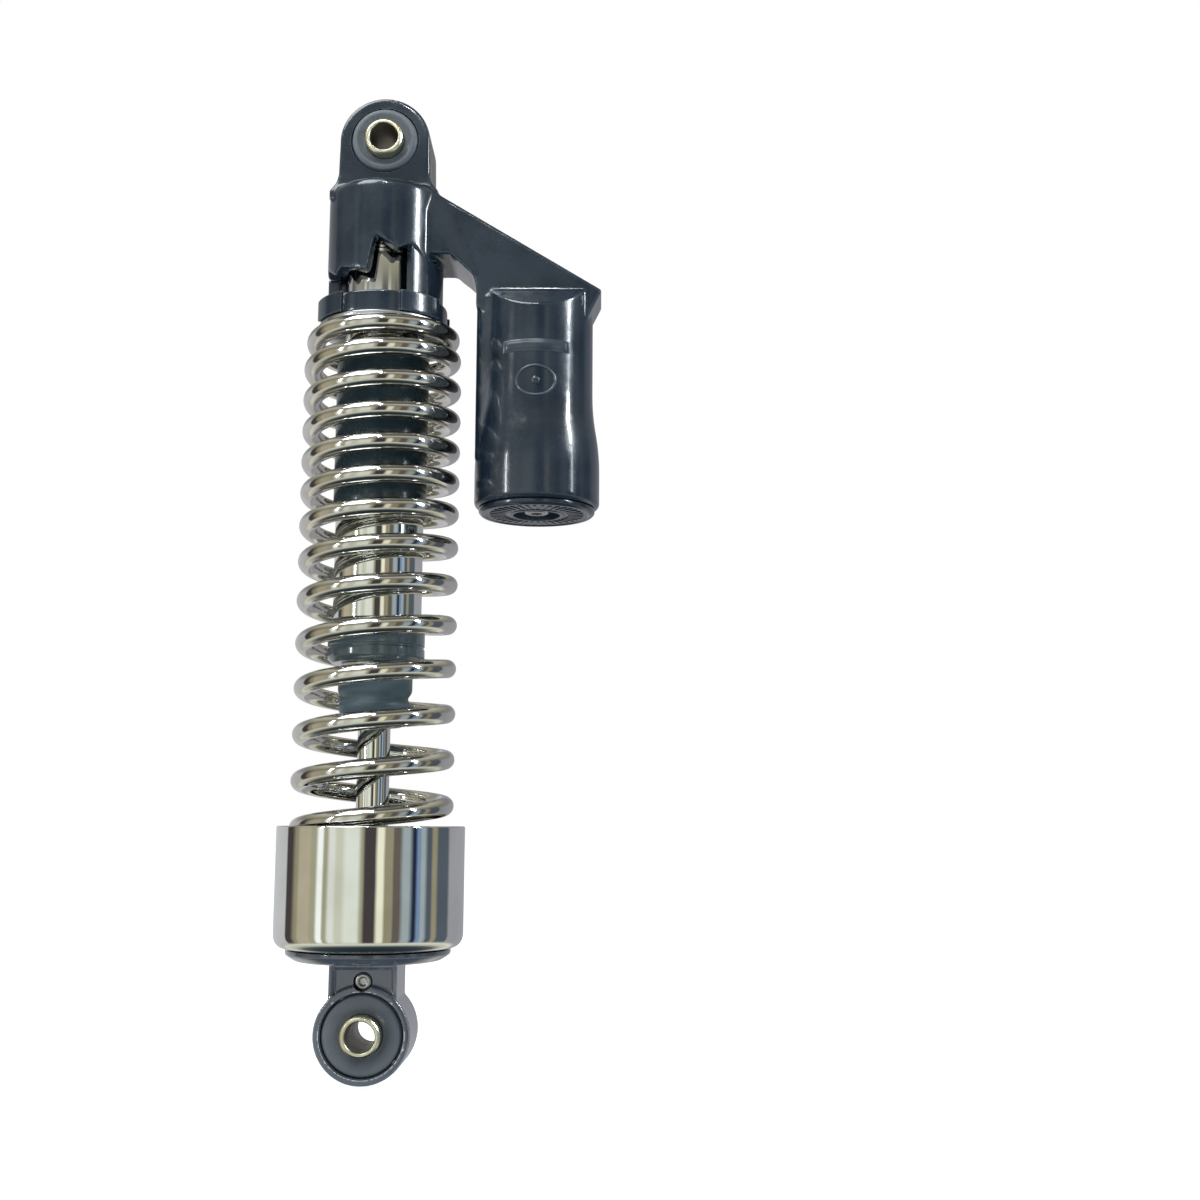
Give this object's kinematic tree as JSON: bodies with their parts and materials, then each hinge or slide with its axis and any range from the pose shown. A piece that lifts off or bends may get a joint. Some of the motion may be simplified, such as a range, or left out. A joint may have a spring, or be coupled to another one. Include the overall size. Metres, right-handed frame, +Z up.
{
  "type": "motorcycle rear shock absorber",
  "caption": "Coil-over rear shock absorber with an eye at each end, a stepped preload adjuster, a chromed spring in a cup and a side reservoir on an arm.",
  "frame": {"origin": "centre of the upper eye, where the frame bolt passes", "axes": "+Z up along the shock's own axis towards the upper eye, Y along both eye bolts with -Y the front, +X towards the reservoir"},
  "size_m": [0.1182, 0.0684, 0.3696],
  "materials": {
    "gloss_black": "gloss",
    "chrome": "polished",
    "black_sleeve": "gloss",
    "navy_black": "semi-gloss",
    "bump_rubber": "satin",
    "rubber": "matt",
    "eye_paint": "semi-gloss",
    "zinc": "satin",
    "steel": "satin",
    "aluminium": "satin",
    "seal_rubber": "matt"
  },
  "bodies": {
    "housing": {"top_housing": "gloss_black", "upper_bush": "rubber", "tube_head": "chrome", "damper_tube": "chrome", "guide_sleeve": "black_sleeve", "gland_collar": "navy_black", "rod_guide": "aluminium", "oil_seal": "seal_rubber", "rod_wiper": "seal_rubber", "bump_washer": "steel", "bump_stop": "bump_rubber", "coil_spring": "chrome", "reservoir_cap": "gloss_black", "cap_seal": "seal_rubber", "filler_screw": "steel"},
    "upper_sleeve_body": {"upper_sleeve": "zinc"},
    "spring_seat": {"spring_seat_washer": "steel"},
    "adjuster": {"adjuster_ring": "gloss_black"},
    "lower_assembly": {"piston_rod": "chrome", "piston": "aluminium", "piston_band": "seal_rubber", "compression_shims": "steel", "rebound_shims": "steel", "piston_nut": "steel", "topout_bumper": "seal_rubber", "spring_cup": "chrome", "spring_pad": "rubber", "lower_seat": "eye_paint", "lock_nut": "steel", "lower_eye": "eye_paint", "lock_pin": "steel", "lower_bush": "rubber"},
    "lower_sleeve_body": {"lower_sleeve": "zinc"},
    "floating": {"floating_piston": "aluminium", "floating_seal": "seal_rubber"}
  },
  "joints": [
    {"name": "stroke", "type": "slide", "parent": "housing", "child": "lower_assembly", "axis": [0, 0, 1], "range_m": [0, 0.065], "stiffness_N_per_m": 22000, "springref_m": -0.01, "deforming": ["coil_spring"]},
    {"name": "preload_drop", "type": "slide", "parent": "housing", "child": "spring_seat", "axis": [0, 0, 1], "range_m": [-0.0084, 0.0028]},
    {"name": "adjuster_turn", "type": "hinge", "parent": "spring_seat", "child": "adjuster", "pos_m": [0, 0, -0.0682], "axis": [0, 0, 1], "range_deg": [-36, 108]},
    {"name": "upper_bush_twist", "type": "hinge", "parent": "housing", "child": "upper_sleeve_body", "pos_m": [0, 0, 0], "axis": [0, 1, 0], "range_deg": [-12, 12], "stiffness_Nm_per_rad": 12},
    {"name": "lower_bush_twist", "type": "hinge", "parent": "lower_assembly", "child": "lower_sleeve_body", "pos_m": [0, 0, -0.335], "axis": [0, 1, 0], "range_deg": [-12, 12], "stiffness_Nm_per_rad": 12},
    {"name": "floating_slide", "type": "slide", "parent": "housing", "child": "floating", "axis": [0, 0, 1], "range_m": [-0.0073, 0]}
  ],
  "couplings": [
    {"joint": "preload_drop", "follows": "adjuster_turn", "m_per_rad": -0.0044563},
    {"joint": "floating_slide", "follows": "stroke", "ratio": -0.11}
  ]
}
